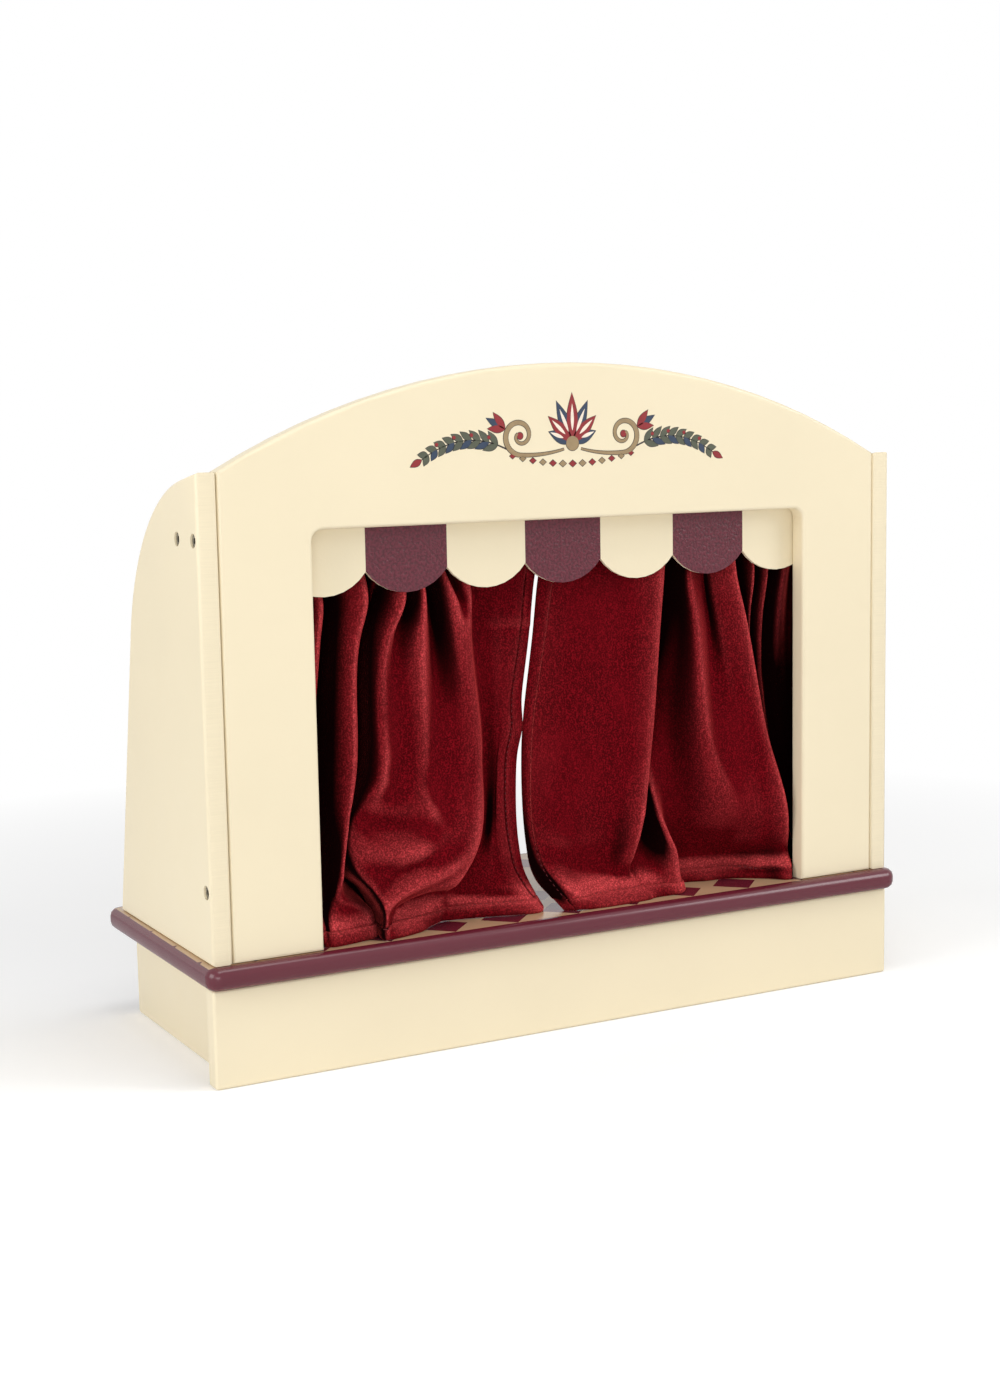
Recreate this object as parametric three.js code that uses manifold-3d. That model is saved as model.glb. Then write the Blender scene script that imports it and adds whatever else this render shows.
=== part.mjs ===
// Tabletop puppet theater of painted boards: a plinth, a stage board with rounded edges, two side panels
// with a round shoulder, an arched front plate with the stage opening, a scalloped valance, and two velvet
// curtains that slide on a wooden rod. All lengths are in millimetres. X runs along the front to the
// right, Y from front to back and Z up. The origin is on the floor, in the middle of the stage board.

import * as THREE from 'three';
import { RoundedBoxGeometry } from 'three/addons/geometries/RoundedBoxGeometry.js';
import { mergeVertices } from 'three/addons/utils/BufferGeometryUtils.js';
import Module from 'manifold-3d';

const wasm = await Module();
wasm.setup();

// Boards
const boardThickness = 15;
const edgeRadius = 2.5;
const seatGap = 0.3;

// Plinth
const plinthWidth = 575;
const plinthHeight = 70;
const plinthSideInset = 16.5;
const plinthBackInset = 1;

// Stage board
const stageThickness = 16;
const stageDepth = 223.4;
const stageSideOverhang = 5;
const stageFrontOverhang = 8.9;
const stageEdgeRadius = 6;
const stageCornerRadius = 10;

// Side panels
const panelEndInset = 0.8;
const panelDepth = 196;
const panelHeight = 332.4;
const shoulderFromFront = 52;
const backLean = THREE.MathUtils.degToRad(12.6);
const topFall = THREE.MathUtils.degToRad(9.1);

// Front plate
const archRise = 70.4;
const jambWidth = 67;
const openingBelowPanelTop = 40.9;
const openingCornerRadius = 8;

// Valance board
const valanceThickness = 3;
const scallopCount = 7;
const scallopRise = 16;
const valanceDrop = 31.2;
const valanceOverlap = 26;
const valanceSideOverlap = 17.5;

// Curtain rod
const rodRadius = 7;
const rodBelowPanelTop = 44.9;
const rodSetback = 23.7;

// Curtains
const clothThickness = 4;
const sleeveClearance = 0.5;
const sleeveWall = 2.6;
const gatherDepth = 1.6;
const gatherCount = 7;

// Side screws and the screws under the stage board
const sideScrew = {
  head: 4.7,
  headDepth: 4,
  shank: 2.5,
  length: 44,
  socket: 2.4,
  socketDepth: 2.6,
  sink: 1.4,
};
const panelScrew = {
  head: 3.8,
  headDepth: 3.2,
  shank: 2,
  length: 42,
  socket: 1.8,
  socketDepth: 2,
  sink: 0.8,
};
const lowerScrewHeight = 50.4;
const panelScrewFromFront = 34;
const panelScrewFromBack = 30;

// Dowels
const dowelRadius = 4;
const dowelLength = 30;
const dowelInStage = 10.5;
const dowelEndGap = 1.2;
const dowelChamfer = 0.8;
const frontDowelFromSide = 53.5;
const plinthDowelFromEnd = 32;
const cornerDowelFromEdge = 20;

// Levels and planes that the pieces share
const stageWidth = plinthWidth + 2 * stageSideOverhang;
const stageBottom = plinthHeight + seatGap;
const stageTop = stageBottom + stageThickness;
const standBottom = stageTop + seatGap;
const frontPlane = stageFrontOverhang - stageDepth / 2;
const plateBack = frontPlane + boardThickness;
const stageBack = stageDepth / 2;
const rodY = plateBack + rodSetback;
const rodZ = standBottom + panelHeight - rodBelowPanelTop;
const panelSpan = plinthWidth - 2 * panelEndInset;
const panelInside = panelSpan / 2 - boardThickness;
const shoulderRadius = panelDepth - shoulderFromFront;
const plateWidth = 2 * (panelInside - seatGap);
const openingWidth = plateWidth - 2 * jambWidth;
const openingHeight = panelHeight - openingBelowPanelTop;
const openingTop = standBottom + openingHeight;
const scallopWidth = (openingWidth + 2 * valanceSideOverlap) / scallopCount;

// How finely round forms are divided
const holeSides = 16;
const dowelSides = 10;
const sleeveSides = 12;
const archSteps = 24;
const shoulderSteps = 18;
const cornerSteps = 5;
const scallopSteps = 10;
const roundoverSteps = 2;
const stageRoundoverSteps = 3;
const cutOverrun = 1;

// Materials
const paint = (color, roughness) => new THREE.MeshStandardMaterial({ color, roughness, metalness: 0 });
const materials = {
  cream: paint(0xf3e8c6, 0.45),
  burgundy: paint(0x5a1f31, 0.35),
  velvet: paint(0x7d1420, 0.95),
  beech: paint(0xd9b98a, 0.6),
  steel: new THREE.MeshStandardMaterial({ color: 0x8d8d8d, roughness: 0.35, metalness: 1 }),
};

const group = new THREE.Group();

function addPiece(name, geometry, material, place = new THREE.Vector3(), turn = new THREE.Euler()) {
  const mesh = new THREE.Mesh(geometry, material.clone());
  mesh.name = name;
  mesh.position.copy(place);
  mesh.rotation.copy(turn);
  group.add(mesh);
}

// Solids to join and cut
function toSolid(geometry) {
  const bare = geometry.clone();
  bare.deleteAttribute('normal');
  bare.deleteAttribute('uv');
  const merged = mergeVertices(bare);
  const vertProperties = new Float32Array(merged.attributes.position.array);
  const triVerts = new Uint32Array(merged.index.array);
  return new wasm.Manifold(new wasm.Mesh({ numProp: 3, vertProperties, triVerts }));
}

function toGeometry(solid) {
  const { vertProperties, triVerts } = solid.getMesh();
  const indexed = new THREE.BufferGeometry();
  indexed.setAttribute('position', new THREE.BufferAttribute(new Float32Array(vertProperties), 3));
  indexed.setIndex(new THREE.BufferAttribute(new Uint32Array(triVerts), 1));
  const geometry = indexed.toNonIndexed();
  geometry.computeVertexNormals();
  return geometry;
}

function cutAway(geometry, cutters) {
  return toGeometry(cutters.reduce((solid, cutter) => solid.subtract(toSolid(cutter)), toSolid(geometry)));
}

// A turned form along +X. Its outline is a list of [distance along X, radius], from the axis to the axis.
function turned(outline, sides = holeSides) {
  const points = outline.map(([along, radius]) => new THREE.Vector2(radius, along));
  return new THREE.LatheGeometry(points, sides).rotateZ(-Math.PI / 2);
}

// The turn that points a form's +X along a direction
function turnTowards(direction) {
  const turn = new THREE.Quaternion().setFromUnitVectors(new THREE.Vector3(1, 0, 0), direction);
  return new THREE.Euler().setFromQuaternion(turn);
}

// A drilled hole, stepped for a screw's head, that enters the wood at a point and runs along a direction
function drill(steps, mouth, direction, sidesRound = holeSides) {
  const outline = [[-cutOverrun, 0]];
  let along = -cutOverrun;
  for (const [depth, radius] of steps) {
    outline.push([along, radius], [depth, radius]);
    along = depth;
  }
  outline.push([along, 0]);
  const turn = new THREE.Quaternion().setFromEuler(turnTowards(direction));
  return turned(outline, sidesRound).applyQuaternion(turn).translate(mouth.x, mouth.y, mouth.z);
}

// Boards
// A board cut to an outline, with its edges rounded over on both faces
function board(outline, thickness, radius = edgeRadius, steps = roundoverSteps) {
  return new THREE.ExtrudeGeometry(outline, {
    depth: thickness - 2 * radius,
    bevelThickness: radius,
    bevelSize: radius,
    bevelOffset: -radius,
    bevelSegments: steps,
  }).translate(0, 0, radius);
}

// An arc of an outline, as points in the order in which the outline runs
function arcPoints(x, y, radius, from, to, steps) {
  return new THREE.EllipseCurve(x, y, radius, radius, from, to, to < from).getPoints(steps);
}

function roundedRectangle(width, depth, radius) {
  const x = width / 2 - radius;
  const y = depth / 2 - radius;
  return new THREE.Shape([
    ...arcPoints(x, -y, radius, -Math.PI / 2, 0, cornerSteps),
    ...arcPoints(x, y, radius, 0, Math.PI / 2, cornerSteps),
    ...arcPoints(-x, y, radius, Math.PI / 2, Math.PI, cornerSteps),
    ...arcPoints(-x, -y, radius, Math.PI, 1.5 * Math.PI, cornerSteps),
  ]);
}

// Side panel: a level foot, an upright front edge, a top that falls gently to the back, and a back edge
// that leans forward. The shoulder between the last two is one arc that both lines touch.
function panelOutline() {
  const topNormal = new THREE.Vector2(Math.sin(topFall), Math.cos(topFall));
  const backNormal = new THREE.Vector2(Math.cos(backLean), Math.sin(backLean));
  const topReach = panelHeight * topNormal.y - shoulderRadius;
  const backReach = panelDepth * backNormal.x - shoulderRadius;
  const determinant = topNormal.x * backNormal.y - topNormal.y * backNormal.x;
  const centreY = (topReach * backNormal.y - backReach * topNormal.y) / determinant;
  const centreZ = (topNormal.x * backReach - backNormal.x * topReach) / determinant;
  return new THREE.Shape([
    new THREE.Vector2(0, 0),
    new THREE.Vector2(panelDepth, 0),
    ...arcPoints(centreY, centreZ, shoulderRadius, backLean, Math.PI / 2 - topFall, shoulderSteps),
    new THREE.Vector2(0, panelHeight),
  ]);
}

// Front plate: two jambs joined by a head whose top is an arc from panel to panel
function plateOutline() {
  const half = plateWidth / 2;
  const arcRadius = (half * half + archRise * archRise) / (2 * archRise);
  const arcCentre = panelHeight + archRise - arcRadius;
  const arcHalfAngle = Math.asin(half / arcRadius);
  const jamb = openingWidth / 2;
  const corner = openingCornerRadius;
  return new THREE.Shape([
    new THREE.Vector2(jamb, 0),
    new THREE.Vector2(half, 0),
    ...arcPoints(0, arcCentre, arcRadius, Math.PI / 2 - arcHalfAngle, Math.PI / 2 + arcHalfAngle, archSteps),
    new THREE.Vector2(-half, 0),
    new THREE.Vector2(-jamb, 0),
    ...arcPoints(corner - jamb, openingHeight - corner, corner, Math.PI, Math.PI / 2, cornerSteps),
    ...arcPoints(jamb - corner, openingHeight - corner, corner, Math.PI / 2, 0, cornerSteps),
  ]);
}

// Valance: a strip whose lower edge is a row of equal arcs
function valanceOutline() {
  const half = (scallopCount * scallopWidth) / 2;
  const chord = scallopWidth / 2;
  const radius = (chord * chord + scallopRise * scallopRise) / (2 * scallopRise);
  const halfAngle = Math.asin(chord / radius);
  const points = [
    new THREE.Vector2(half, valanceDrop + valanceOverlap),
    new THREE.Vector2(-half, valanceDrop + valanceOverlap),
  ];
  for (let n = 0; n < scallopCount; n += 1) {
    const middle = (n + 0.5) * scallopWidth - half;
    const start = 1.5 * Math.PI - halfAngle;
    const end = 1.5 * Math.PI + halfAngle;
    const arc = arcPoints(middle, radius - scallopRise, radius, start, end, scallopSteps);
    points.push(...arc.slice(n > 0 ? 1 : 0));
  }
  return new THREE.Shape(points);
}

// Fasteners
// A screw with a round head and a six-sided socket, along +X from the face of its head
function screwGeometry({ head, headDepth, shank, length, socket, socketDepth }) {
  const tip = length - 2 * shank;
  const body = turned([[0, 0], [0, head], [headDepth, head], [headDepth, shank], [tip, shank], [length, 0]]);
  const wall = [[-cutOverrun, socket], [socketDepth, socket]];
  const hexagon = turned([[-cutOverrun, 0], ...wall, [socketDepth, 0]], 6);
  return cutAway(body, [hexagon]);
}

// The hole that takes the screw's head and shank, entering the wood that the head sits in
function screwHole({ head, headDepth, shank, length, sink }, mouth, direction) {
  const bottom = sink + headDepth + seatGap;
  return drill([[bottom, head + seatGap], [sink + length + seatGap, shank + seatGap]], mouth, direction);
}

function addScrew(name, screw, mouth, direction) {
  const place = mouth.clone().addScaledVector(direction, screw.sink);
  addPiece(name, screwGeometry(screw), materials.steel, place, turnTowards(direction));
}

// A dowel with chamfered ends, along +X from its first end
function dowelGeometry() {
  const end = dowelRadius - dowelChamfer;
  const far = dowelLength - dowelChamfer;
  const ends = [[dowelChamfer, dowelRadius], [far, dowelRadius]];
  return turned([[0, 0], [0, end], ...ends, [dowelLength, end], [dowelLength, 0]], dowelSides);
}

// A dowel lies across a joint: its first stretch is in one board and the rest in the other
function dowelJoint(name, mouth, direction, firstStretch) {
  const start = mouth.clone().addScaledVector(direction, -firstStretch);
  const turn = turnTowards(direction);
  const holeRadius = dowelRadius + seatGap;
  const back = direction.clone().negate();
  const otherStretch = dowelLength - firstStretch;
  return {
    firstHole: drill([[firstStretch + dowelEndGap, holeRadius]], mouth, back, dowelSides),
    otherHole: drill([[otherStretch + dowelEndGap, holeRadius]], mouth, direction, dowelSides),
    add: () => addPiece(name, dowelGeometry(), materials.beech, start, turn),
  };
}

// Where the screws and dowels go
const up = new THREE.Vector3(0, 0, 1);
const down = new THREE.Vector3(0, 0, -1);
const backwards = new THREE.Vector3(0, 1, 0);
const sides = [
  { word: 'left', sign: -1 },
  { word: 'right', sign: 1 },
];
const boardMiddle = frontPlane + boardThickness / 2;
const lowerScrewZ = stageTop + lowerScrewHeight;
const plinthSideX = plinthWidth / 2 - plinthSideInset - boardThickness / 2;
const plinthSideStart = frontPlane + boardThickness + seatGap;
const plinthSideLength = stageBack - plinthBackInset - plinthSideStart;
const jambMiddle = (openingWidth + plateWidth) / 4;
const panelMiddle = (panelSpan - boardThickness) / 2;

const sideScrews = sides.flatMap(({ word, sign }) => {
  const inward = new THREE.Vector3(-sign, 0, 0);
  const mouth = (y, z) => new THREE.Vector3((sign * panelSpan) / 2, y, z);
  return [
    { name: `plate_screw_upper_${word}`, sign, inward, holds: 'plate', mouth: mouth(boardMiddle, rodZ) },
    { name: `plate_screw_lower_${word}`, sign, inward, holds: 'plate', mouth: mouth(boardMiddle, lowerScrewZ) },
    { name: `rod_screw_${word}`, sign, inward, holds: 'rod', mouth: mouth(rodY, rodZ) },
  ];
});

const panelScrews = sides.flatMap(({ word, sign }) => [
  { place: 'front', y: frontPlane + panelScrewFromFront },
  { place: 'back', y: frontPlane + panelDepth - panelScrewFromBack },
].map(({ place, y }) => ({
  name: `panel_screw_${place}_${word}`,
  sign,
  mouth: new THREE.Vector3(sign * panelMiddle, y, stageBottom),
})));

const plateDowels = sides.map(({ word, sign }) => {
  const mouth = new THREE.Vector3(sign * jambMiddle, boardMiddle, stageTop);
  return dowelJoint(`plate_dowel_${word}`, mouth, up, dowelInStage);
});

const frontDowels = [-1, 0, 1].map((step, n) => {
  const mouth = new THREE.Vector3(step * (plinthSideX - frontDowelFromSide), boardMiddle, stageBottom);
  return dowelJoint(`plinth_dowel_front_${n + 1}`, mouth, down, dowelInStage);
});

const sideDowels = sides.flatMap(({ word, sign }) => [
  plinthSideStart + plinthDowelFromEnd,
  plinthSideStart + plinthSideLength - plinthDowelFromEnd,
].map((y, n) => {
  const mouth = new THREE.Vector3(sign * plinthSideX, y, stageBottom);
  return { sign, ...dowelJoint(`plinth_dowel_${word}_${n + 1}`, mouth, down, dowelInStage) };
}));

const cornerDowels = sides.flatMap(({ word, sign }) => [
  cornerDowelFromEdge,
  plinthHeight - cornerDowelFromEdge,
].map((z, n) => {
  const mouth = new THREE.Vector3(sign * plinthSideX, frontPlane + boardThickness, z);
  return { sign, ...dowelJoint(`corner_dowel_${word}_${n + 1}`, mouth, backwards, dowelInStage) };
}));

// Plinth
function addPlinth() {
  const frontSize = [plinthWidth, boardThickness, plinthHeight];
  const front = new RoundedBoxGeometry(...frontSize, roundoverSteps, edgeRadius)
    .translate(0, boardMiddle, plinthHeight / 2);
  const frontHoles = [...frontDowels.map((d) => d.otherHole), ...cornerDowels.map((d) => d.firstHole)];
  addPiece('plinth_front_board', cutAway(front, frontHoles), materials.cream);
  for (const { word, sign } of sides) {
    const middleY = plinthSideStart + plinthSideLength / 2;
    const size = [boardThickness, plinthSideLength, plinthHeight];
    const side = new RoundedBoxGeometry(...size, roundoverSteps, edgeRadius)
      .translate(sign * plinthSideX, middleY, plinthHeight / 2);
    const dowels = [...sideDowels, ...cornerDowels].filter((d) => d.sign === sign);
    addPiece(`plinth_side_${word}`, cutAway(side, dowels.map((d) => d.otherHole)), materials.cream);
  }
}

// Stage board
function addStage() {
  const plan = roundedRectangle(stageWidth, stageDepth, stageCornerRadius);
  const slab = board(plan, stageThickness, stageEdgeRadius, stageRoundoverSteps)
    .translate(0, 0, stageBottom);
  const holes = [
    ...plateDowels.map((d) => d.firstHole),
    ...frontDowels.map((d) => d.firstHole),
    ...sideDowels.map((d) => d.firstHole),
    ...panelScrews.map(({ mouth }) => screwHole(panelScrew, mouth, up)),
  ];
  addPiece('stage_board', cutAway(slab, holes), materials.burgundy);
}

// Side panels
function addPanels() {
  for (const { word, sign } of sides) {
    const inner = sign < 0 ? -panelSpan / 2 : panelInside;
    const panel = board(panelOutline(), boardThickness)
      .rotateX(Math.PI / 2).rotateZ(Math.PI / 2)
      .translate(inner, frontPlane, standBottom);
    const holes = [
      ...sideScrews.filter((s) => s.sign === sign).map((s) => screwHole(sideScrew, s.mouth, s.inward)),
      ...panelScrews.filter((s) => s.sign === sign).map((s) => screwHole(panelScrew, s.mouth, up)),
    ];
    addPiece(`side_panel_${word}`, cutAway(panel, holes), materials.cream);
  }
}

// Front plate and valance
function addFront() {
  const plate = board(plateOutline(), boardThickness)
    .rotateX(Math.PI / 2)
    .translate(0, plateBack, standBottom);
  const holes = [
    ...sideScrews.filter((s) => s.holds === 'plate').map((s) => screwHole(sideScrew, s.mouth, s.inward)),
    ...plateDowels.map((d) => d.otherHole),
  ];
  addPiece('front_plate', cutAway(plate, holes), materials.cream);

  const strip = new THREE.ExtrudeGeometry(valanceOutline(), {
    depth: valanceThickness,
    bevelEnabled: false,
  }).rotateX(Math.PI / 2);
  const place = new THREE.Vector3(0, plateBack + seatGap + valanceThickness, openingTop - valanceDrop);
  addPiece('valance_board', strip, materials.burgundy, place);
}

// Curtain rod
function addRod() {
  const half = panelInside - seatGap;
  const bar = turned([[-half, 0], [-half, rodRadius], [half, rodRadius], [half, 0]], 2 * holeSides)
    .translate(0, rodY, rodZ);
  const rodScrews = sideScrews.filter((s) => s.holds === 'rod');
  const holes = rodScrews.map((s) => screwHole(sideScrew, s.mouth, s.inward));
  addPiece('curtain_rod', cutAway(bar, holes), materials.beech);
}

// Curtains
// Each line runs down a ridge, a hollow or an edge of the cloth, from the outer edge to the inner edge. At
// each level it has a share across, from the opening's edge (0) to its middle (1) and less behind the jamb,
// and a share forward, from the rod's middle (0) to the plate's back (1) and less behind the rod. Gathered
// folds come down from the rod, and their feet lean out over the stage.
const levelShares = [0, 0.18, 0.575, 0.826, 0.93, 1];
const outerShare = 1 - (2 * (panelInside - seatGap)) / openingWidth;
const outerShares = levelShares.map(() => outerShare);
const curtainShapes = [
  {
    word: 'left',
    sign: -1,
    lineShares: [
      [outerShares, [0, -0.05, -0.05, -0.05, 0, 0.05]],
      [[-0.19, -0.19, -0.19, -0.19, -0.19, -0.19], [0.12, 0.75, 0.8, 0.82, 0.82, 0.82]],
      [[-0.08, -0.08, -0.08, -0.08, -0.08, -0.08], [0, -0.35, -0.4, -0.35, -0.2, 0]],
      [[0.035, 0.065, 0.02, 0.01, 0.01, 0.01], [0.12, 0.75, 0.8, 0.82, 0.82, 0.82]],
      [[0.11, 0.14, 0.105, 0.075, 0.055, 0.055], [0, -0.35, -0.4, -0.3, 0.5, 1]],
      [[0.21, 0.24, 0.195, 0.135, 0.12, 0.12], [0.12, 0.78, 0.8, 1.15, 1, 1.4]],
      [[0.28, 0.305, 0.245, 0.2, 0.2, 0.2], [0, -0.35, -0.4, -0.35, 0.05, 0.35]],
      [[0.355, 0.37, 0.3, 0.255, 0.265, 0.265], [0.12, 0.78, 0.74, 1.3, 1.35, 1.5]],
      [[0.405, 0.415, 0.36, 0.32, 0.32, 0.325], [0, -0.25, 0.5, 1.15, 1, 1.35]],
      [[0.45, 0.45, 0.425, 0.385, 0.375, 0.385], [0.12, 0.78, 0.74, 1.4, 1, 1.4]],
      [[0.5, 0.51, 0.51, 0.46, 0.45, 0.455], [0, -0.3, 0.5, 1.4, 0.9, 1.05]],
      [[0.58, 0.59, 0.62, 0.55, 0.55, 0.55], [0.12, 0.78, 0.74, 1.4, 0.65, 0.75]],
      [[0.675, 0.705, 0.735, 0.685, 0.66, 0.65], [0, -0.25, -0.35, -0.15, 0.1, 0.4]],
      [[0.785, 0.79, 0.775, 0.76, 0.755, 0.745], [0.1, 0.12, 0.12, 0.25, 0.4, 0.65]],
      [[0.955, 0.935, 0.86, 0.865, 0.9, 0.95], [0.1, 0.15, 0.12, 0.12, 0.25, 0.5]],
    ],
  },
  {
    word: 'right',
    sign: 1,
    lineShares: [
      [outerShares, [0, -0.05, -0.05, -0.05, 0, 0.05]],
      [[-0.19, -0.18, -0.195, -0.23, -0.245, -0.25], [0.12, 0.75, 0.8, 0.82, 0.82, 0.82]],
      [[-0.055, -0.04, -0.085, -0.135, -0.155, -0.165], [0, -0.35, -0.4, -0.35, -0.15, 0.05]],
      [[0.065, 0.085, 0.005, -0.045, -0.065, -0.07], [0.12, 0.7, 0.2, -0.1, 0.25, 0.5]],
      [[0.145, 0.145, 0.05, -0.01, -0.02, -0.02], [0, -0.15, -0.3, 0.1, 0.5, 0.6]],
      [[0.22, 0.2, 0.1, 0.04, 0.03, 0.05], [0.12, 0.75, 0.78, 1.25, 0.85, 1.35]],
      [[0.34, 0.34, 0.27, 0.215, 0.2, 0.2], [0, -0.35, 0.25, 0.4, -0.3, 0.15]],
      [[0.4, 0.405, 0.365, 0.32, 0.295, 0.295], [0.12, 0.75, 0.78, 0.35, -0.35, 0.05]],
      [[0.435, 0.435, 0.43, 0.43, 0.4, 0.395], [0.05, 0.2, 0.1, -0.25, -0.35, -0.1]],
      [[0.46, 0.465, 0.475, 0.56, 0.52, 0.51], [0, -0.2, -0.2, 0.85, 0.9, 1.1]],
      [[0.49, 0.5, 0.525, 0.63, 0.62, 0.595], [0, -0.25, -0.35, 0.15, 0.6, 1.1]],
      [[0.525, 0.535, 0.605, 0.7, 0.705, 0.665], [0.12, 0.75, 0.74, 1.1, 0.75, 1.3]],
      [[0.695, 0.705, 0.765, 0.815, 0.805, 0.755], [0.1, 0.6, 0.65, 0.6, 0.55, 1.3]],
      [[0.865, 0.875, 0.93, 0.95, 0.93, 0.885], [0.1, 0.35, 0.4, 0.4, 0.6, 1.35]],
      [[1.02, 1.04, 1.105, 1.085, 1.045, 1], [0.1, 0.2, 0.15, 0.15, 0.4, 1.15]],
    ],
  },
];
const columnsPerLine = 3;
const rowCount = 9;

// The middle of the cloth as rows of points, from the rod down to the stage
function clothRows({ sign, lineShares }) {
  const top = rodZ - rodRadius - sleeveClearance - sleeveWall / 2;
  const lines = lineShares.map(([acrossShares, forwardShares]) => {
    const points = levelShares.map((downShare, n) => new THREE.Vector3(
      sign * (1 - acrossShares[n]) * (openingWidth / 2),
      rodY - forwardShares[n] * rodSetback,
      THREE.MathUtils.lerp(top, standBottom, downShare),
    ));
    return new THREE.CatmullRomCurve3(points, false, 'catmullrom');
  });
  const columns = columnsPerLine * (lines.length - 1);
  return Array.from({ length: rowCount + 1 }, (_, row) => {
    const points = lines.map((line) => line.getPoint(row / rowCount));
    return new THREE.CatmullRomCurve3(points, false, 'catmullrom').getPoints(columns);
  });
}

// A sheet with a front and a back face and a rim all round, as one closed skin
function clothGeometry(rows, sign) {
  const middle = rows.flat();
  const front = middle.map((point) => point.clone().setY(point.y - clothThickness / 2));
  const back = middle.map((point) => point.clone().setY(point.y + clothThickness / 2));
  const positions = [...front, ...back].flatMap((point) => point.toArray());
  const across = rows[0].length;
  const lastRow = rows.length - 1;
  const lastColumn = across - 1;
  const faces = [];
  const quad = (a, b, c, d) => faces.push(a, b, c, a, c, d);
  for (let row = 0; row < lastRow; row += 1) {
    for (let column = 0; column < lastColumn; column += 1) {
      const a = row * across + column;
      quad(a, a + across, a + across + 1, a + 1);
      const b = a + front.length;
      quad(b, b + 1, b + across + 1, b + across);
    }
  }
  const foot = lastRow * across;
  for (let column = 0; column < lastColumn; column += 1) {
    const b = column + front.length;
    quad(column, column + 1, b + 1, b);
    quad(foot + column, foot + b, foot + b + 1, foot + column + 1);
  }
  for (let row = 0; row < lastRow; row += 1) {
    const a = row * across;
    const b = a + front.length;
    quad(a, b, b + across, a + across);
    const c = a + lastColumn;
    const d = c + front.length;
    quad(c, c + across, d + across, d);
  }
  if (sign > 0) faces.reverse();
  const geometry = new THREE.BufferGeometry();
  geometry.setAttribute('position', new THREE.BufferAttribute(new Float32Array(positions), 3));
  geometry.setIndex(faces);
  return geometry;
}

// The rod pocket: a sleeve round the rod, as long as the cloth's top row, whose outside ripples where the
// cloth is gathered
function sleeveGeometry(topRow) {
  const inner = rodRadius + sleeveClearance;
  const start = topRow[0].x;
  const end = topRow.at(-1).x;
  const ripples = 2 * gatherCount;
  const outline = [];
  for (let n = 0; n <= ripples; n += 1) {
    const ripple = n % 2 === 0 ? 0 : gatherDepth;
    outline.push([THREE.MathUtils.lerp(start, end, n / ripples), inner + sleeveWall + ripple]);
  }
  outline.push([end, inner], [start, inner], outline[0]);
  if (end < start) outline.reverse();
  return turned(outline, sleeveSides).translate(0, rodY, rodZ);
}

function addCurtains() {
  for (const shape of curtainShapes) {
    const rows = clothRows(shape);
    const curtain = toSolid(clothGeometry(rows, shape.sign)).add(toSolid(sleeveGeometry(rows[0])));
    addPiece(`curtain_${shape.word}`, toGeometry(curtain), materials.velvet);
  }
}

addPlinth();
addStage();
addPanels();
addFront();
addRod();
addCurtains();
for (const { name, mouth, inward } of sideScrews) addScrew(name, sideScrew, mouth, inward);
for (const { name, mouth } of panelScrews) addScrew(name, panelScrew, mouth, up);
for (const joint of [...plateDowels, ...frontDowels, ...sideDowels, ...cornerDowels]) joint.add();

export default group;
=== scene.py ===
# Tabletop puppet theater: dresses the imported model. The boards, screws and rod are the model's own,
# with painted, printed, wooden and steel materials. The curtains and the ornament are made here.
# Lengths are in metres, and in millimetres where a name ends in MM or a section's comment says so.
# X runs along the front, Y to the back and Z up.

import math

import bmesh
import bpy
import numpy as np
from mathutils import Matrix, Vector


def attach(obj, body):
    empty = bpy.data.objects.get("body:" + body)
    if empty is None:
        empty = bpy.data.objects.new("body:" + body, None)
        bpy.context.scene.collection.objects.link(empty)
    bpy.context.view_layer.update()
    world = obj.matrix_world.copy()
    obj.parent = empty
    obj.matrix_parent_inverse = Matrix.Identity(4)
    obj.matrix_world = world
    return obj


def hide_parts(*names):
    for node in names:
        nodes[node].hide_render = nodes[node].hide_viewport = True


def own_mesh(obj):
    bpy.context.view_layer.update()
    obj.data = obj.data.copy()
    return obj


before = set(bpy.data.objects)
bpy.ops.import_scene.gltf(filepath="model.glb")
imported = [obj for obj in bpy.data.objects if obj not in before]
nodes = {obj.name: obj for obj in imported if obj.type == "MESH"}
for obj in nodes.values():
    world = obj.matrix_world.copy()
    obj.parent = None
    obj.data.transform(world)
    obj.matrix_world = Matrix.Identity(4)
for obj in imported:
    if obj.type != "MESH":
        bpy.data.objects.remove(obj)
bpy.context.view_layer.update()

MM = 0.001

# Camera, fitted to the photograph. Angles are in degrees.
CAMERA_PLACE = (-0.7542, -1.3891, 0.4501)
CAMERA_AZIMUTH = -28.255
CAMERA_ELEVATION = 7.765
CAMERA_ROLL = -1.061
CAMERA_LENS_MM = 52.97
CAMERA_SENSOR_MM = 36
CAMERA_REACH = 50

# Colours, linear
CREAM = (0.82, 0.715, 0.505)
BURGUNDY = (0.112, 0.012, 0.024)
TAN = (0.50, 0.33, 0.19)
VELVET = (0.092, 0.0016, 0.0039)
VELVET_SHEEN = (0.95, 0.09, 0.088)
# The velvet's painted highlight colour
VELVET_HIGHLIGHT = (0.5, 0.052, 0.056)
BEECH = (0.58, 0.37, 0.19)
STEEL = (0.30, 0.28, 0.24)
THREAD = (0.09, 0.002, 0.005)

# Light and floor. Between the two distances of SHADOW_REACH the floor fades to plain white.
FILL_STRENGTH = 0.42
BACKDROP_STRENGTH = 1.0
FLOOR_HALF = 12.0
FLOOR_LIT = (0.97, 0.97, 0.97, 1)
FLOOR_BOUNCE = (0.94, 0.95, 0.965, 1)
FLOOR_LIFT = 0.12
SHADOW_REACH = (0.55, 1.1)
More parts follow.
